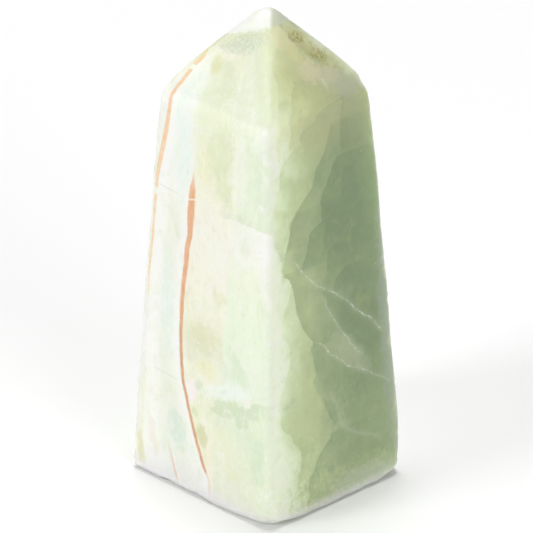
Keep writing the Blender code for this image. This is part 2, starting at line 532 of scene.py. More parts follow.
# What each strip between the veins looks like, from the base at 0 to 100 mm up at 1
OUTER_STOPS = (
    (0.0, (240, 238, 222)), (0.12, (240, 238, 222)), (0.25, (238, 239, 232)), (1.0, (241, 239, 232)),
)
MINT_STOPS = (
    (0.03, (246, 247, 240)), (0.12, (242, 246, 235)), (0.2, (244, 245, 234)), (0.3, (242, 248, 239)),
    (0.52, (249, 248, 239)), (0.62, (251, 249, 242)), (0.7, (243, 249, 240)), (0.86, (245, 249, 240)),
    (0.92, (244, 244, 232)),
)
CREAM_STOPS = (
    (0.02, (247, 245, 230)), (0.1, (245, 242, 219)), (0.19, (238, 241, 216)), (0.27, (242, 243, 224)),
    (0.34, (233, 235, 208)), (0.42, (246, 245, 228)), (0.58, (250, 246, 233)), (0.68, (243, 243, 220)),
    (0.78, (238, 242, 219)), (0.86, (234, 239, 214)), (0.92, (240, 240, 218)),
)
GREEN_STOPS = (
    (0.02, (237, 240, 222)), (0.1, (234, 239, 216)), (0.2, (231, 239, 217)), (0.27, (236, 244, 228)),
    (0.4, (236, 245, 224)), (0.5, (239, 245, 223)), (0.57, (246, 248, 238)), (0.62, (231, 239, 219)),
    (0.72, (231, 240, 218)), (0.8, (236, 242, 224)), (0.9, (236, 239, 220)),
)

# The healed crack that crosses the face, and hairline cracks: height, and from which level place to which
CRACK_HEIGHT = 62.0
HAIRLINES = ((62.0, -15.0, -9.0), (23.0, -14.5, -7.2))

# Pigments of single marks on the banded faces
GREY_BAND = left(234, 237, 223)
WHITE_BAND = left(253, 253, 248)
PINK_EDGE = left(250, 238, 222)
CRACK_SHADE = left(224, 230, 210)
MILK = left(252, 253, 246)
EDGE_GREEN = left(219, 230, 203)
RIDGE_LIGHT = left(246, 248, 232)
FIBRE_WHITE = left(251, 252, 243)
FLECK = left(255, 255, 252)
HALO_1 = left(252, 250, 240)
HALO_2 = left(254, 254, 250)
VEIN_1_BROWN = left(242, 202, 166)
VEIN_2_BROWN = left(234, 186, 146)
VEIN_2_LOW = left(212, 168, 134)
VEIN_3_BROWN = left(234, 198, 168)
VEIN_CRACK = left(250, 243, 232)
HAIRLINE_GREY = left(220, 226, 212)

# Mottling, which follows a noise: pigment, noise at which it starts and is full, and how much it then covers
WISPS = ((left(251, 252, 244), 0.02, 0.45, 0.65), (left(212, 225, 188), -0.02, -0.50, 0.45))
CURDS = ((left(252, 253, 247), 0.08, 0.40, 0.60), (left(212, 224, 194), -0.08, -0.45, 0.42))
FIBRES = ((FIBRE_WHITE, 0.10, 0.70, 0.30), (left(216, 225, 198), -0.10, -0.70, 0.22))
STREAKS = ((left(247, 216, 186), 0.0, 0.5, 0.6), (left(200, 148, 110), -0.05, -0.5, 0.45))

# Patches on the banded faces: level place, height, half width, half height, turn, softness, strength, colour
BAND_PATCHES = (
    (-8.9, 80.0, 1.6, 7.0, 3.0, 0.9, 0.4, (230, 246, 236)),
    (-8.2, 69.0, 1.7, 8.0, -2.0, 0.9, 0.38, (228, 245, 236)),
    (-4.9, 89.6, 1.5, 1.7, 0.0, 0.8, 0.8, (228, 229, 186)),
    (-1.7, 89.4, 1.4, 1.4, 0.0, 0.8, 0.5, (228, 231, 196)),
    (0.2, 86.6, 2.4, 2.2, 20.0, 0.8, 0.45, (224, 233, 204)),
    (-1.8, 84.5, 2.0, 1.6, 0.0, 0.8, 0.25, (230, 237, 210)),
    (1.6, 74.6, 3.6, 5.2, -8.0, 0.6, 0.65, (226, 233, 198)),
    (3.2, 68.6, 2.2, 4.6, 5.0, 0.6, 0.7, (226, 232, 196)),
    (-2.6, 71.0, 1.8, 4.6, 0.0, 0.9, 0.5, (240, 239, 202)),
    (12.0, 80.6, 1.6, 3.0, -20.0, 0.9, 0.4, (244, 249, 240)),
    (7.1, 71.0, 1.7, 9.0, 0.0, 0.9, 0.5, (248, 249, 238)),
    (12.5, 72.0, 1.7, 8.0, 0.0, 0.9, 0.55, (222, 232, 212)),
    (-11.2, 40.0, 1.9, 10.0, 2.0, 0.9, 0.45, (226, 241, 234)),
    (9.0, 57.4, 1.4, 2.0, 0.0, 0.8, 0.5, (228, 233, 210)),
    (3.2, 44.6, 1.6, 1.6, -35.0, 0.8, 0.55, (234, 236, 206)),
    (-1.2, 34.4, 3.4, 3.0, 20.0, 0.7, 0.75, (226, 227, 194)),
    (1.6, 36.0, 2.8, 1.6, 10.0, 0.7, 0.5, (230, 232, 200)),
    (-3.8, 31.0, 1.6, 2.4, 0.0, 0.8, 0.6, (230, 230, 208)),
    (0.0, 28.6, 2.0, 1.8, 0.0, 0.9, 0.7, (238, 238, 198)),
    (9.4, 30.6, 5.2, 1.5, -52.0, 0.8, 0.75, (221, 236, 209)),
    (6.0, 30.0, 2.2, 1.4, -30.0, 0.9, 0.45, (226, 238, 214)),
    (6.0, 25.6, 7.0, 1.7, 18.0, 0.6, 0.75, (242, 249, 240)),
    (13.0, 25.8, 3.0, 1.2, 10.0, 0.7, 0.6, (243, 244, 230)),
    (-3.4, 22.4, 1.6, 2.8, 0.0, 0.5, 0.9, (249, 241, 237)),
    (-1.6, 24.6, 0.9, 1.2, 0.0, 0.7, 0.6, (220, 228, 210)),
    (6.0, 22.0, 4.2, 1.7, 20.0, 0.3, 0.75, (214, 226, 194)),
    (10.4, 21.4, 1.8, 2.5, 0.0, 0.3, 0.7, (212, 225, 195)),
    (15.0, 24.6, 4.6, 1.8, 20.0, 0.3, 0.75, (212, 225, 197)),
    (-2.4, 18.2, 0.8, 1.0, 0.0, 0.6, 0.7, (220, 226, 186)),
    (-0.3, 14.2, 1.3, 2.4, 18.0, 0.6, 0.85, (221, 220, 178)),
    (5.4, 14.6, 2.6, 3.6, 10.0, 0.9, 0.5, (242, 242, 210)),
    (7.6, 9.2, 2.4, 1.4, 0.0, 0.9, 0.45, (234, 235, 198)),
    (15.2, 13.6, 1.8, 4.6, 4.0, 0.8, 0.7, (214, 229, 204)),
    (13.0, 17.8, 3.6, 2.0, 0.0, 0.9, 0.45, (220, 234, 211)),
    (-7.2, 13.0, 2.0, 4.2, 14.0, 0.7, 0.75, (219, 234, 221)),
    (-8.6, 9.0, 1.6, 2.6, 20.0, 0.9, 0.35, (232, 243, 230)),
    (-16.9, 5.0, 0.9, 3.6, 14.0, 0.6, 0.75, (222, 222, 186)),
    (-13.6, 9.0, 1.1, 3.6, 18.0, 0.9, 0.5, (234, 226, 208)),
)

# The terraced faces, where the beds are cut almost flat. How far their bright edge is from their middle at
# the base, how much nearer for each mm of height, and how dark they are at each distance in mm from that
# edge.
# The pale strip along that edge is partly the stone's zoning and partly painted glow, of light that comes
# through from the lit face beside it
FACE_HALF = 18.9
FACE_TAPER = 0.052
BED_DARKNESS_AND_GLOW = (
    (0.0, 0.05), (2.2, 0.13), (4.4, 0.23), (6.6, 0.36), (8.8, 0.48), (11.0, 0.59), (13.2, 0.69), (15.4, 0.78),
    (17.6, 0.85), (19.8, 0.9), (24.0, 0.94), (29.0, 0.91), (32.0, 0.86), (36.0, 0.76), (40.0, 0.72),
)
# The edges of the terraces, each dark on its right: from which height to which, how dark, over how many mm
# that fades, and the course
TERRACES = (
    (-2.0, 95.0, 0.1, 4.0, (
        (0.0, -14.0), (4.1, -12.9), (6.7, -11.1), (10.6, -9.8), (14.0, -9.1), (15.9, -10.9), (18.1, -11.6),
        (20.7, -14.1), (25.6, -14.7), (29.4, -13.1), (33.2, -11.4), (37.4, -11.1), (40.7, -13.4),
        (44.0, -12.5), (47.1, -10.6), (49.6, -9.9), (51.6, -10.8), (53.6, -12.6), (55.6, -12.3),
        (59.7, -13.9), (63.5, -14.6), (67.1, -13.7), (71.1, -11.8), (73.8, -11.4), (78.8, -12.1),
        (83.0, -12.8), (86.1, -11.3), (88.9, -9.3), (93.0, -5.7))),
    (85.0, 90.5, 0.1, 3.0, ((85.7, -9.8), (88.2, -7.7), (89.8, -6.7))),
    (77.5, 88.6, 0.12, 3.5, (
        (78.5, -8.8), (80.6, -8.1), (82.9, -8.4), (84.0, -7.2), (85.3, -6.8), (86.1, -5.9), (87.5, -4.9),
        (88.0, -3.5))),
    (77.6, 84.2, 0.12, 3.5, (
        (78.2, -5.9), (79.8, -5.8), (80.6, -4.2), (81.3, -1.5), (82.3, -1.4), (82.6, -0.3), (83.2, 0.9),
        (83.5, 3.1), (84.0, 5.8))),
    (73.0, 84.0, 0.09, 4.0, ((73.4, 4.4), (77.5, 4.7), (80.3, 4.8), (81.9, 5.2), (83.3, 5.6))),
    (57.0, 79.5, 0.16, 5.0, (
        (57.2, -10.9), (58.1, -10.4), (59.6, -10.1), (60.8, -9.6), (62.2, -9.7), (63.2, -8.8), (64.2, -7.9),
        (66.2, -5.7), (67.1, -4.4), (68.1, -3.4), (69.5, -2.7), (71.1, -2.4), (72.1, -1.5), (73.6, -0.1),
        (78.3, 2.0))),
    (51.0, 64.0, 0.12, 6.0, ((51.6, -12.5), (54.0, -12.0), (57.2, -10.9), (60.8, -9.6), (64.2, -7.9))),
    (70.0, 77.4, 0.1, 3.0, (
        (70.8, -11.7), (72.8, -11.7), (73.7, -11.5), (75.1, -10.6), (76.3, -9.3), (77.1, -7.5))),
    (52.0, 72.4, 0.15, 9.0, (
        (52.3, -7.2), (54.2, -6.0), (55.4, -5.5), (56.9, -5.0), (58.5, -4.7), (59.3, -4.0), (59.8, -2.7),
        (60.1, -1.4), (61.7, -1.3), (62.9, -1.0), (64.5, -1.5), (65.6, -1.0), (66.7, -0.3), (67.8, 0.6),
        (70.0, 1.8), (71.2, 2.3), (72.2, 3.2), (72.5, 4.9))),
    (53.5, 62.0, 0.07, 4.0, (
        (54.0, -1.3), (56.5, -1.0), (58.0, -0.6), (60.3, 0.3), (61.3, 1.7), (61.8, 4.0))),
    (57.5, 69.5, 0.06, 5.0, ((58.0, 4.5), (63.8, 4.4), (66.1, 4.0), (69.0, 5.0))),
    (49.5, 56.0, 0.08, 4.0, ((51.0, -0.4), (53.6, -0.1), (54.0, 0.8), (54.8, 2.4), (55.6, 3.1))),
    (44.5, 49.0, 0.1, 4.0, ((45.4, 1.2), (46.9, 1.7), (48.0, 2.6), (48.7, 4.4))),
    (35.0, 52.5, 0.2, 4.0, (
        (36.1, -4.9), (37.6, -6.1), (39.7, -7.3), (42.1, -8.4), (44.0, -8.9), (46.3, -9.2), (48.9, -9.5),
        (51.0, -10.3), (52.2, -12.0))),
    (17.0, 35.5, 0.13, 4.0, (
        (18.0, -0.6), (19.1, -1.3), (21.2, -2.3), (23.6, -3.5), (25.9, -4.7), (27.9, -5.4), (29.1, -4.5),
        (31.4, -4.9), (35.9, -5.8))),
    (13.0, 23.5, 0.1, 5.0, (
        (13.7, -9.1), (15.2, -9.5), (16.8, -11.1), (18.8, -11.9), (20.6, -13.9), (21.7, -14.2),
        (22.9, -15.5))),
    (0.0, 15.5, 0.16, 6.0, (
        (2.7, -8.4), (4.1, -7.5), (5.6, -7.8), (7.9, -7.5), (8.8, -6.2), (10.4, -5.7), (11.5, -4.9),
        (13.1, -3.1), (14.6, -1.2))),
)
# The courses of the healed cracks that cross the terraces
FRACTURE_A = (
    (32.1, 13.5), (33.9, 12.3), (35.7, 11.0), (37.3, 9.0), (39.4, 6.5), (41.4, 5.1), (42.9, 3.2), (44.6, 1.2),
    (46.0, -0.9), (47.2, -3.0), (48.9, -4.6), (51.1, -6.5), (53.7, -8.4), (56.2, -10.9), (57.3, -12.2),
    (59.3, -13.4), (60.9, -14.3),
)
FRACTURE_B = (
    (26.0, 10.5), (28.2, 8.9), (30.3, 6.9), (32.3, 5.2), (33.9, 4.4), (36.3, 2.4), (38.4, 1.2), (40.5, 0.1),
    (42.6, -1.1), (44.3, -1.4), (45.9, -2.2),
)
FRACTURE_C = (
    (21.2, 15.1), (22.8, 12.6), (23.9, 10.9), (25.5, 8.8), (26.8, 6.7), (27.9, 4.1), (29.3, 2.9), (30.4, 1.7),
    (32.0, -0.4), (34.0, -1.6), (36.0, -4.0), (37.3, -6.1),
)
FRACTURE_D = (
    (9.5, 11.9), (11.2, 10.3), (12.1, 7.7), (14.0, 4.3), (15.8, 2.2), (17.8, 1.4), (20.5, 0.7), (23.0, -0.5),
    (25.3, -1.2),
)
# From which height to which each of the four has healed, and how white
HEALED = ((32.0, 60.0, 0.85), (29.0, 44.5, 0.55), (21.0, 35.5, 0.85), (9.5, 24.0, 0.1))

# Mottling and pigments of single marks on the terraced faces
CLOUDS = ((right(152, 172, 142), 0.05, 0.60, 0.30), (right(176, 182, 128), -0.05, -0.60, 0.30))
SEAM_GREY = right(182, 191, 162)
BEAD_WHITE = right(222, 227, 208)
SPECK = right(232, 236, 218)

# What each share of darkness looks like on the terraces, and on the yellower stone near the point
DARK_STOPS = (
    (0.0, (240, 245, 229)), (0.12, (226, 235, 212)), (0.25, (211, 222, 189)), (0.4, (194, 205, 162)),
    (0.55, (177, 190, 145)), (0.7, (160, 175, 135)), (0.85, (144, 161, 122)), (1.0, (130, 149, 113)),
)
TOP_STOPS = (
    (0.0, (229, 232, 211)), (0.12, (216, 222, 191)), (0.25, (209, 214, 176)), (0.4, (200, 204, 160)),
    (0.55, (188, 192, 150)), (0.7, (175, 180, 141)), (0.85, (160, 166, 130)), (1.0, (144, 151, 118)),
)
# Darker and lighter areas there: level place, height, half width, half height, turn, softness, added darkness
TERRACE_SHADES = (
    (8.0, 37.0, 4.6, 6.0, 35.0, 0.6, 0.1),
    (4.6, 31.0, 6.2, 2.4, -48.0, 1.0, -0.16),
    (-8.6, 24.0, 4.6, 6.0, 0.0, 0.7, -0.04),
    (-3.2, 32.0, 1.4, 3.2, 0.0, 0.6, 0.06),
    (16.6, 50.0, 2.6, 30.0, 0.0, 0.9, -0.06),
    (4.0, 2.0, 18.0, 5.0, 0.0, 0.9, -0.18),
    (4.0, 12.0, 12.0, 10.0, 0.0, 0.9, -0.12),
    (-6.0, 27.0, 10.0, 24.0, 0.0, 0.9, -0.11),
    (13.0, 66.0, 4.0, 12.0, 0.0, 0.9, -0.08),
    (-6.0, 54.6, 3.6, 3.0, 0.0, 0.9, 0.09),
    (-12.0, 9.0, 2.4, 10.0, 0.0, 0.9, -0.08),
)
# Tints there: level place, height, half width, half height, turn, softness, strength, colour
TERRACE_TINTS = (
    (-8.6, 22.0, 5.4, 7.6, 0.0, 0.7, 0.55, (188, 198, 152)),
    (4.6, 31.0, 6.0, 2.2, -48.0, 1.0, 0.5, (169, 178, 150)),
    (-1.0, 78.6, 5.0, 4.4, 20.0, 0.9, 0.45, (176, 182, 136)),
    # The fourth row, a greyer strip down the far edge, is partly the stone's tone and partly a painted
    # reflection: the pale haze that edge shows of the bright room around it
    (16.4, 42.0, 3.2, 34.0, 0.0, 0.9, 0.75, (160, 166, 156)),
    (8.0, 3.0, 9.0, 2.4, -4.0, 0.9, 0.55, (188, 196, 176)),
)


def group_of(name, labels):
    """A new node group with these numbers going in, and their fields."""
    tree = bpy.data.node_groups.new(name, "ShaderNodeTree")
    for label in labels:
        tree.interface.new_socket(label, in_out="INPUT", socket_type="NodeSocketFloat")
    tree.interface.new_socket("Result", in_out="OUTPUT", socket_type="NodeSocketFloat")
    start = tree.nodes.new("NodeGroupInput")
    return tree, [Field(tree, start.outputs[label]) for label in labels]


def group_ends(tree, result):
    tree.links.new(result.socket, tree.nodes.new("NodeGroupOutput").inputs[0])
    return tree


def patch_group():
    """A leaning oval patch: its strength inside, softening and fraying outwards."""
    labels = ("Level", "Height", "Ragged", "At", "Up", "Wide", "High", "Turn", "Soft", "Strength")
    tree, fields = group_of("patch", labels)
    level, height, ragged, at, up, wide, high, turn, soft, strength = fields
    past, above = level - at, height - up
    c, s = calc(tree, "COSINE", turn), calc(tree, "SINE", turn)
    along = (past * c + above * s) / wide
    across = (above * c - past * s) / high
    away = along * along + across * across + ragged
    return group_ends(tree, step(away, soft + 1.0, 1.0 - soft, strength))


def terrace_group():
    """The edge of a terrace: darkness on its right that fades away from it, and a light lip on its left."""
    tree, fields = group_of("terrace", ("Past", "Height", "Low", "High", "Deep", "Length"))
    past, height, low, high, deep, length = fields
    fallen = calc(tree, "EXPONENT", 0.0 - largest(past, 0.0) / length)
    lip = decay(0.0 - past, 2.2) * 0.25
    right_side = step(past, -0.10, 0.12)
    there = step(height, low - 0.8, low + 0.8) * step(height, high + 0.3, high - 0.3)
    return group_ends(tree, ((fallen + lip) * right_side - lip) * there * deep)


PATCH = patch_group()
TERRACE = terrace_group()


def patch_share(level, height, ragged, row):
    """How much of a patch covers a place."""
    at, up, wide, high, turn, soft, strength = row[:7]
    values = (level, height, ragged, at, up, wide, high, math.radians(turn), soft, strength)
    return add_node(level.tree, "ShaderNodeGroup", 0, dict(enumerate(values)), node_tree=PATCH)


def patched(colour, face, rows, level, height, ragged):
    """The colour with these patches over it."""
    for row in rows:
        colour = blend(colour, face(*row[-1]), patch_share(level, height, ragged, row))
    return colour


def mottled(colour, noise_field, marks):
    """The colour with these pigments where the noise is high or low enough."""
    for mark, start, full, top in marks:
        colour = blend(colour, mark, step(noise_field, start, full, top))
    return colour


def terrace_share(past, height, row):
    """How much darker a terrace makes a place that is so far past its edge."""
    values = (past, height) + row[:4]
    return add_node(past.tree, "ShaderNodeGroup", 0, dict(enumerate(values)), node_tree=TERRACE)


def banded_colour(level, place, z, behind):
    """The faces where the beds show as upright bands, with their brown veins."""
    rough = cloud(place, 1.3, 3.0, 0.6)
    slow = cloud(place, 6.0, 2.0)
    torn = cloud(scaled(place, (1.0, 1.0, 0.35)), 0.9, 2.0, 0.6)
    ragged = cloud(place, 1.4, 6.0, 0.75, 0.6) * 1.3 + behind * 0.6
    drift_x, drift_z = drift(place, 3.0, 1.3, 4.0)
    loose_x, loose_z = level + drift_x, z + drift_z

    vein_1, vein_2, vein_3 = route(z, VEIN_1), route(z, VEIN_2), route(z, VEIN_3)
    past_1, past_2 = level - vein_1, level - vein_2
    past_ridge = level - route(z, RIDGE) + torn * 0.9

    height = (z + slow * 2.5 + rough * 0.6) * 0.01
    outer = ramp(height, OUTER_STOPS, left)
    mint = ramp(height, MINT_STOPS, left)
    cream = ramp(height, CREAM_STOPS, left)
    green = ramp(height, GREEN_STOPS, left)

    # Between the veins: a white strip, a grey-green one and a halo, each a share of the way across
    across = past_1 / (vein_2 - vein_1)
    below = step(z, 66.0, 58.0)
    grey_band = step(across, 0.26, 0.46) * step(across, 0.84, 0.64) * below
    mint = blend(mint, GREY_BAND, grey_band * (0.55 + slow * 0.5))
    white_band = step(across, 0.08, 0.16) * step(across, 0.32, 0.20)
    mint = blend(mint, WHITE_BAND, white_band * 0.75)
    colour = blend(outer, mint, step(past_1, -0.5, 0.3))
    soft = step(z, 64.0, 74.0, 1.4)
    colour = blend(colour, cream, step(past_2 + torn * 0.2, -0.5 - soft, soft + 0.5))
    pink = decay(size_of(past_2 - 1.0), 1.2) * step(past_2, 0.0, 0.6)
    pink = pink * step(z, 70.0, 60.0) * step(z, 36.0, 44.0)
    colour = blend(colour, PINK_EDGE, pink * 0.7)
    colour = blend(colour, green, step(past_ridge + ragged * 0.5, -0.7, 0.7))

    colour = patched(colour, left, BAND_PATCHES, loose_x, loose_z, ragged)

    # The healed crack across the face: milky stone under it and greyer stone over it
    over_crack = z - CRACK_HEIGHT + slow * 0.9 + torn * 0.7 + rough * 0.4
    milk = decay(0.0 - over_crack, 4.5) * step(over_crack, 0.25, -0.25) * step(level + slow * 2.0, 2.0, 11.0)
    shade = decay(over_crack, 1.6) * step(over_crack, -0.2, 0.2) * step(level, 0.0, 5.0)
    colour = blend(colour, CRACK_SHADE, shade * 0.65)

    # Towards the front edge the stone is a little greener
    greener = step(level + slow * 1.5, 11.5, 17.5, 0.40) + step(level, 15.5, 18.0, 0.25)
    colour = blend(colour, EDGE_GREEN, greener * step(milk, 0.4, 0.0))

    # Wisps and mottling: clouds of milky white and of green, drawn out along the bands
    wisps = cloud(scaled(place, (1.0, 1.0, 0.55)), 3.2, 8.0, 0.68, 1.2)
    colour = mottled(colour, wisps, WISPS)
    curds = cloud(scaled(place, (1.0, 1.0, 0.8)), 1.1, 6.0, 0.75, 0.4)
    colour = mottled(colour, curds, CURDS)

    colour = blend(colour, MILK, milk * 0.75)

    # The ridge line, and fine fibres and flecks
    lit = step(size_of(past_ridge + 0.2), 0.8, 0.15) * step(z, 58.0, 64.0) * step(z, 93.0, 90.0)
    colour = blend(colour, RIDGE_LIGHT, lit * step(rough, -0.5, 0.4, 0.6))
    fibre = cloud(scaled(place, (1.0, 1.0, 0.09)), 0.55, 2.0, 0.7, 0.3)
    colour = mottled(colour, fibre, FIBRES)
    fleck = cloud(scaled(place, (1.0, 1.0, 0.6)), 0.5, 3.0, 0.8)
    colour = blend(colour, FLECK, step(fleck, 0.30, 0.50) * step(slow, -0.4, 0.3) * 0.75)
    combed = decay(size_of(past_ridge + 1.2), 1.0) * step(z, 58.0, 64.0) * step(z, 92.0, 86.0)
    colour = blend(colour, FIBRE_WHITE, step(fleck, 0.02, 0.30) * combed)

    # White halos beside the veins
    halo_2 = decay(size_of(past_2 + 1.0), 0.5) * step(z, 68.0, 60.0)
    colour = blend(colour, HALO_2, halo_2 * 0.85)
    halo_1 = decay(size_of(past_1 - 1.0), 0.5)
    colour = blend(colour, HALO_1, halo_1 * 0.6)

    # The veins: the first is broken twice, and the second has a streaky core and a white crack across it
    wobble = torn * 0.20 + cloud(place, 0.35, 2.0, 0.7) * 0.16
    gaps = [step(size_of(z - middle), inner, outer) for middle, inner, outer in VEIN_1_GAPS]
    unbroken = gaps[0] * gaps[1]
    thick_1 = read_curve(z, 0.0, 100.0, VEIN_1_WIDTHS)
    body_1 = step(size_of(past_1 + wobble) - thick_1, 0.22, -0.14)
    body_1 = body_1 * step(z, 35.0, 46.0) * step(z, 92.4, 91.2) * unbroken
    colour = blend(colour, VEIN_1_BROWN, body_1 * (0.85 + rough * 0.4))
    thick_2 = read_curve(z, 0.0, 100.0, VEIN_2_WIDTHS)
    body_2 = step(size_of(past_2 + wobble) - thick_2, 0.24, -0.16) * step(z, 70.0, 64.0)
    core = blend(VEIN_2_BROWN, VEIN_2_LOW, step(z, 46.0, 30.0) * (0.6 + rough * 0.6))
    streaks = cloud(scaled(place, (1.0, 1.0, 0.25)), 0.55, 3.0, 0.7)
    core = mottled(core, streaks, STREAKS)
    low_end = 1.0 - step(z, 7.0, 6.0) * 0.7
    colour = blend(colour, core, body_2 * low_end)
    crack = step(size_of(z - VEIN_2_CRACK - past_2 * 0.25 + rough * 0.25), 0.30, 0.08)
    crack = crack * step(size_of(past_2), 1.5, 0.7)
    colour = blend(colour, VEIN_CRACK, crack * 0.8)
    body_3 = step(size_of(level - vein_3 + wobble), 0.42, 0.12) * step(z, 11.0, 5.0)
    colour = blend(colour, VEIN_3_BROWN, body_3 * 0.7)

    # Hairline cracks across the bands
    for up, low, high in HAIRLINES:
        line = step(size_of(z - up + slow * 0.5 + rough * 0.2 + level * 0.06), 0.30, 0.05)
        line = line * step(level, low, low + 1.0) * step(level, high, high - 1.0)
        colour = blend(colour, HAIRLINE_GREY, line * 0.45)
    return colour


def terraced_colour(level, place, z, behind):
    """The faces where the beds show as overlapping plates, each with a dark edge."""
    jag = cloud(place, 1.6, 4.0, 0.6)
    slow = cloud(place, 7.0, 2.0)
    wisps = cloud(scaled(place, (1.0, 0.8, 0.5)), 2.6, 7.0, 0.62, 0.8)
    ragged = cloud(place, 1.4, 6.0, 0.75, 0.6) * 1.3 + behind * 0.6
    drift_y, drift_z = drift(place, 3.5, 1.1, 4.0)
    loose_y, loose_z = level + drift_y, z + drift_z
    uneven = level + jag * 0.40 + cloud(place, 0.5, 3.0, 0.75) * 0.22

    inwards = level + z * -FACE_TAPER + FACE_HALF
    # Darker away from the front edge: the pale strip along it is partly painted glow from the lit face beside
    # it
    dark = read_curve(inwards + slow * 1.5 + wisps * 0.8, 0.0, 40.0, BED_DARKNESS_AND_GLOW)
    rough_z = z + jag * 0.4
    for row in TERRACES:
        dark = dark + terrace_share(uneven - route(z, row[-1]), rough_z, row)
    for row in TERRACE_SHADES:
        dark = dark + patch_share(loose_y, loose_z, ragged, row)

    # Between the first two cracks it is darkest
    below_a = uneven - route(z, FRACTURE_A)
    above_b = uneven - route(z, FRACTURE_B)
    below_c = uneven - route(z, FRACTURE_C)
    between = step(above_b, 0.0, 0.4) * step(below_a, 0.0, -0.4) * step(z, 27.0, 31.0) * step(z, 46.5, 45.5)
    dark = dark + between * 0.08
    dark = dark + slow * 0.07 + wisps * 0.09 + jag * 0.03
    dark = dark - step(z, 58.0, 86.0, 0.20)

    colour = ramp(dark, DARK_STOPS, right)
    yellower = ramp(dark, TOP_STOPS, right)
    colour = blend(colour, yellower, step(z + slow * 4.0, 70.0, 84.0))
    colour = patched(colour, right, TERRACE_TINTS, loose_y, loose_z, ragged)

    # Bluer and yellower clouds
    colour = mottled(colour, cloud(place, 4.5, 5.0, 0.6, 0.5), CLOUDS)

    # The healed cracks: a pale grey seam with white beads along it
    beads = step(cloud(place, 1.1, 4.0, 0.8), -0.10, 0.45)
    cracks = (below_a, above_b, below_c, uneven - route(z, FRACTURE_D))
    for past, (low, high, white) in zip(cracks, HEALED):
        there = step(z, low - 1.0, low + 1.5) * step(z, high + 1.0, high - 1.0)
        haze = decay(size_of(past), 0.8) * there
        colour = blend(colour, SEAM_GREY, haze * 0.40)
        line = step(size_of(past + jag * 0.25), 0.36, 0.05) * there * beads
        colour = blend(colour, BEAD_WHITE, line * white)

    # A few bright specks
    speck = cloud(place, 0.42, 1.0)
    few = step(cloud(place, 2.6, 1.0), 0.05, 0.30)
    colour = blend(colour, SPECK, step(speck, 0.50, 0.64) * few * 0.9)
    return colour


# The facets of the point face up more and catch more light than the sides, so their colour is blended towards
# black to take that light back: painted shade. Between which heights that sets in, and how much darker it is
BANDED_FACET_SHADE = (82.4, 84.0, 0.095)
TERRACED_FACET_SHADE = (83.2, 84.8, 0.06)
# Tints on the two kinds of facet, written like those of the terraces
LEFT_FACET_TINTS = (
    (0.6, 94.0, 1.8, 1.1, 0.0, 0.9, 0.55, (220, 233, 210)),
    (-5.4, 92.6, 1.4, 0.8, 0.0, 0.8, 0.55, (222, 224, 206)),
    (-5.2, 90.2, 1.5, 1.2, 0.0, 0.9, 0.4, (230, 232, 194)),
    (-2.0, 89.6, 1.8, 1.0, 0.0, 0.9, 0.4, (223, 234, 206)),
)
RIGHT_FACET_TINTS = (
    (-2.6, 95.2, 1.3, 1.3, 0.0, 0.7, 0.6, (214, 206, 170)),
    (-0.6, 94.4, 1.7, 3.6, 20.0, 0.8, 0.7, (205, 202, 156)),
    (5.6, 92.8, 2.4, 2.4, 0.0, 0.9, 0.65, (184, 184, 158)),
    (1.0, 89.4, 2.4, 1.8, 0.0, 0.9, 0.7, (208, 203, 172)),
    (4.6, 88.0, 2.6, 1.6, 0.0, 0.9, 0.65, (197, 193, 170)),
    (3.1, 86.9, 0.5, 0.9, 0.0, 0.9, 0.35, (206, 216, 200)),
    (8.5, 85.6, 4.0, 2.2, 0.0, 0.9, 0.6, (180, 183, 167)),
)
# The mossy patch under the tip and the crumbly seam beside it, written like the tints
MOSS = (-1.0, 94.5, 5.2, 2.0, 18.0, 0.6, 0.90, (214, 221, 201))
SEAM = (3.2, 93.5, 5.6, 1.3, -51.0, 0.6, 0.95, (178, 176, 130))
MOSS_THREAD = left(248, 249, 228)
CRUMB = right(138, 134, 76)
CRYSTAL = right(238, 237, 214)
FACET_SHADE_BLACK = (0.0, 0.0, 0.0, 1.0)
# The banded facet is painted darker and greener towards its front edge, along which x + FACET_SLOPE * z is
# about 93 mm: painted shade against the extra light that the rounded ridge catches
FACET_SLOPE = 0.94
FACET_EDGE = (88.6, 92.4, 0.6)
FACET_EDGE_SHADE_GREEN = left(216, 225, 194)

# How far a mark lies along and up the hidden face behind the one it is given for, in mm
BANDED_BEHIND = (1.6, 9.0)
TERRACED_BEHIND = (2.2, -7.0)

# The banded faces end just past the corners, where x squared less y squared is so many square mm at the base,
# and so many less for each mm up. Then how soft that end is, and how far it strays, more at the back
CORNER_SHIFT = 44.0
CORNER_RISE = 0.4
CORNER_SOFT = 50.0
CORNER_STRAY = 16.0
BACK_STRAY = 90.0
# How far past the back corner a white bed reaches at the base, and how much that changes with each mm up
BACK_BED = 250.0
BACK_BED_LEAN = -3.0

# Frost on the tip and the rim: between which heights it sets in, how much it covers, and its pigments on the
# banded and on the terraced side. On the tip it starts so much higher for each mm of x
TIP_FROST = (95.9, 97.0)
TIP_FROST_LEAN = 0.36
TIP_FROST_SHARE = 0.88
TIP_FROST_LEFT = pigment(245, 246, 243, FACET_LIGHT)
# On the terraced side the tip's frost is greyer: partly its own tone and partly painted shade
TIP_FROST_SHADED_RIGHT = pigment(202, 205, 190, FACET_LIGHT)
RIM_FROST = (3.4, 0.6)
RIM_FROST_SHARE = 0.85
RIM_FROST_LEFT = left(246, 247, 241)
RIM_FROST_RIGHT = right(226, 230, 217)

# Roughness of the polish, how much it varies, and roughness where it is frosted
POLISHED = 0.24
POLISH_VARIES = 0.05
FROSTED = 0.5


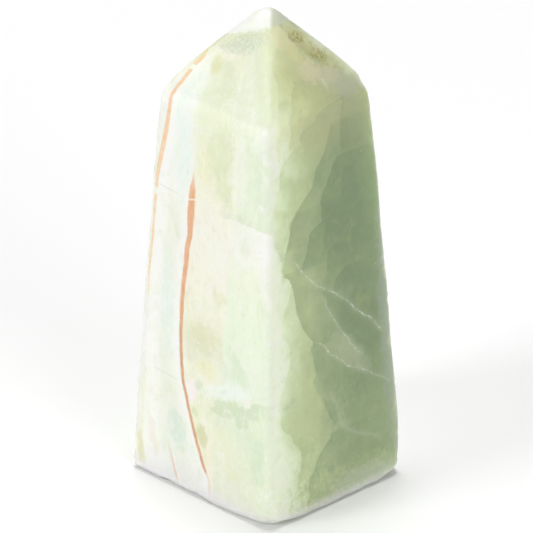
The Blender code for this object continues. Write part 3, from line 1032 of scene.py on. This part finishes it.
def calcite():
    """The stone: banded faces, terraced faces, the point's own marks, frost and polish."""
    material = bpy.data.materials.new("calcite")
    material.use_nodes = True
    tree = material.node_tree
    shader = tree.nodes["Principled BSDF"]
    metres = add_node(tree, "ShaderNodeTexCoord", 3, {})
    place = scaled(metres, (1.0 / MM,) * 3)
    x, y, z = (add_node(tree, "ShaderNodeSeparateXYZ", i, {0: place}) for i in range(3))

    # The beds run through the stone, so a mark on one face comes out shifted on the face behind it, and
    # patches come out smaller there
    behind_y = step(y, -12.0, 12.0)
    behind_x = step(x, 12.0, -12.0)
    along, up = BANDED_BEHIND
    banded = banded_colour(x + behind_y * along, place, z + behind_y * up, behind_y)
    along, up = TERRACED_BEHIND
    terraced = terraced_colour(y + behind_x * along, place, z + behind_x * up, behind_x)

    # On the point, each facet has tints of its own, frayed and grainy
    drift_level, drift_z = drift(place, 1.6, 0.8, 4.0)
    ragged = cloud(place, 0.8, 5.0, 0.8) * 1.6
    loose_x, loose_y, loose_z = x + drift_level, y + drift_level, z + drift_z
    # Painted shade: darker, greener colour along the front ridge of the banded facet, against its extra light
    shaded_edge = step(x + z * FACET_SLOPE, *FACET_EDGE) * step(z, 82.5, 84.5)
    banded = blend(banded, FACET_EDGE_SHADE_GREEN, shaded_edge)
    banded = patched(banded, left, LEFT_FACET_TINTS, loose_x, loose_z, ragged)
    moss = patch_share(loose_x, loose_z, ragged, MOSS)
    banded = blend(banded, left(*MOSS[-1]), moss)
    threads = step(size_of(cloud(place, 1.7, 3.0, 0.6, 2.0)), 0.10, 0.02)
    banded = blend(banded, MOSS_THREAD, threads * moss * 0.7)
    terraced = patched(terraced, right, RIGHT_FACET_TINTS, loose_y, loose_z, ragged)
    seam = patch_share(loose_y, loose_z, ragged, SEAM)
    terraced = blend(terraced, right(*SEAM[-1]), seam)
    crumbs = cloud(place, 0.9, 4.0, 0.8)
    clump = step(cloud(place, 2.2, 1.0), -0.20, 0.20)
    terraced = blend(terraced, CRUMB, step(crumbs, -0.12, 0.16) * seam * clump)
    crystals = step(cloud(place, 0.4, 2.0, 0.8), 0.24, 0.40)
    terraced = blend(terraced, CRYSTAL, crystals * seam * clump)
    # Painted shade: the facets of the point are blended towards black against the extra light they catch
    banded = blend(banded, FACET_SHADE_BLACK, step(z, *BANDED_FACET_SHADE))
    terraced = blend(terraced, FACET_SHADE_BLACK, step(z, *TERRACED_FACET_SHADE))

    # Where one kind of face turns into the other. The back corner has a white bed that leans across it
    corner = x * x - y * y + (z * CORNER_RISE - CORNER_SHIFT)
    back = behind_y * behind_x
    lean = (z * BACK_BED_LEAN + BACK_BED) * back
    stray = cloud(place, 1.2, 2.0) * CORNER_STRAY + cloud(place, 4.5, 4.0, 0.6) * behind_y * BACK_STRAY
    side = step(corner + stray - lean, -CORNER_SOFT, CORNER_SOFT)
    colour = blend(banded, terraced, side)

    # The tip and the rim are frosted by wear
    grain = cloud(place, 0.8, 4.0, 0.7)
    frost_tip = step(z - x * TIP_FROST_LEAN + grain * 0.9, *TIP_FROST)
    frost_rim = step(z + grain * 0.8, *RIM_FROST)
    shaded_tip_side = step(x + y, -0.6, 0.8)
    # The tip's frost takes its greyer pigment on the terraced side: partly its own tone and partly painted
    # shade
    colour = blend(colour, blend(TIP_FROST_LEFT, TIP_FROST_SHADED_RIGHT, shaded_tip_side), frost_tip * TIP_FROST_SHARE)
    colour = blend(colour, blend(RIM_FROST_LEFT, RIM_FROST_RIGHT, side), frost_rim * RIM_FROST_SHARE)

    tree.links.new(colour.socket, shader.inputs["Base Color"])
    polish = cloud(place, 4.0, 3.0) * POLISH_VARIES + POLISHED
    rough = largest(polish, largest(frost_tip, frost_rim) * FROSTED)
    tree.links.new(rough.socket, shader.inputs["Roughness"])
    scratch = cloud(place, 0.6, 3.0, 0.7)
    bump = add_node(tree, "ShaderNodeBump", 0, {"Strength": 0.10, "Distance": 0.0004, "Height": scratch})
    tree.links.new(bump.socket, shader.inputs["Normal"])
    shader.inputs["IOR"].default_value = 1.56
    shader.inputs["Specular IOR Level"].default_value = 0.3
    shader.inputs["Subsurface Weight"].default_value = 1.0
    shader.inputs["Subsurface Radius"].default_value = (1.0, 1.1, 0.8)
    shader.inputs["Subsurface Scale"].default_value = 0.006
    return material


# Half the width of the floor, in metres, and the lamps: name, place, size and watts
FLOOR_HALF = 4.0
LAMP_AIM = (0.0, 0.0, 0.045)
LAMPS = (
    ("key", (-0.8, -2.6, 1.3), 1.2, 33.8),
    ("top", (-0.25, 0.25, 3.0), 1.4, 62.0),
    ("fill", (2.9, -0.6, 1.3), 1.6, 24.0),
)


def aim(thing, towards):
    """Turns a lamp or the camera towards a place."""
    way = Vector(towards) - thing.location
    thing.rotation_euler = way.to_track_quat("-Z", "Y").to_euler()


def area_light(name, place, size, power):
    """A round soft lamp that points at the stone."""
    data = bpy.data.lights.new(name, "AREA")
    data.shape = "DISK"
    data.size = size
    data.energy = power
    lamp = bpy.data.objects.new(name, data)
    lamp.location = place
    bpy.context.scene.collection.objects.link(lamp)
    aim(lamp, LAMP_AIM)


def studio():
    floor_mesh = bpy.data.meshes.new("floor")
    r = FLOOR_HALF
    floor_mesh.from_pydata([(-r, -r, 0), (r, -r, 0), (r, r, 0), (-r, r, 0)], [], [(0, 1, 2, 3)])
    floor = bpy.data.objects.new("floor", floor_mesh)
    bpy.context.scene.collection.objects.link(floor)
    material = bpy.data.materials.new("floor")
    material.use_nodes = True
    shader = material.node_tree.nodes["Principled BSDF"]
    shader.inputs["Base Color"].default_value = (0.9, 0.9, 0.9, 1.0)
    shader.inputs["Roughness"].default_value = 0.9
    shader.inputs["Specular IOR Level"].default_value = 0.0
    floor.data.materials.append(material)
    world = bpy.data.worlds.new("studio")
    bpy.context.scene.world = world
    world.use_nodes = True
    world.node_tree.nodes["Background"].inputs["Color"].default_value = (1.0, 1.0, 1.0, 1.0)
    world.node_tree.nodes["Background"].inputs["Strength"].default_value = 0.225
    for lamp in LAMPS:
        area_light(*lamp)


def camera():
    turn, rise = math.radians(CAMERA_AZIMUTH), math.radians(CAMERA_HEIGHT_ANGLE)
    back = Vector((math.sin(turn) * math.cos(rise), -math.cos(turn) * math.cos(rise), math.sin(rise)))
    right_way = Vector((math.cos(turn), math.sin(turn), 0.0))
    up = back.cross(right_way)
    centre = FRAME_PX / 2.0
    aim_at = Vector((AXIS_OFFSET[0], AXIS_OFFSET[1], AIM_HEIGHT))
    aim_at += right_way * (centre - AIM_PX[0]) / PX_PER_MM * MM
    aim_at -= up * (centre - AIM_PX[1]) / PX_PER_MM * MM
    data = bpy.data.cameras.new("camera")
    data.sensor_width = SENSOR
    data.lens = PX_PER_MM / MM * CAMERA_DISTANCE / FRAME_PX * SENSOR
    data.clip_end = 20.0
    eye = bpy.data.objects.new("camera", data)
    eye.location = aim_at + back * CAMERA_DISTANCE
    aim(eye, aim_at)
    eye.rotation_euler.rotate_axis("Z", math.radians(CAMERA_ROLL))
    bpy.context.scene.collection.objects.link(eye)
    bpy.context.scene.camera = eye


bpy.context.scene.view_settings.view_transform = "Standard"
camera()
studio()
tower = bpy.data.objects.new("stone", tower_mesh("stone"))
bpy.context.scene.collection.objects.link(tower)
tower.data.materials.append(calcite())
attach(tower, "root")
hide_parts("calcite_tower")
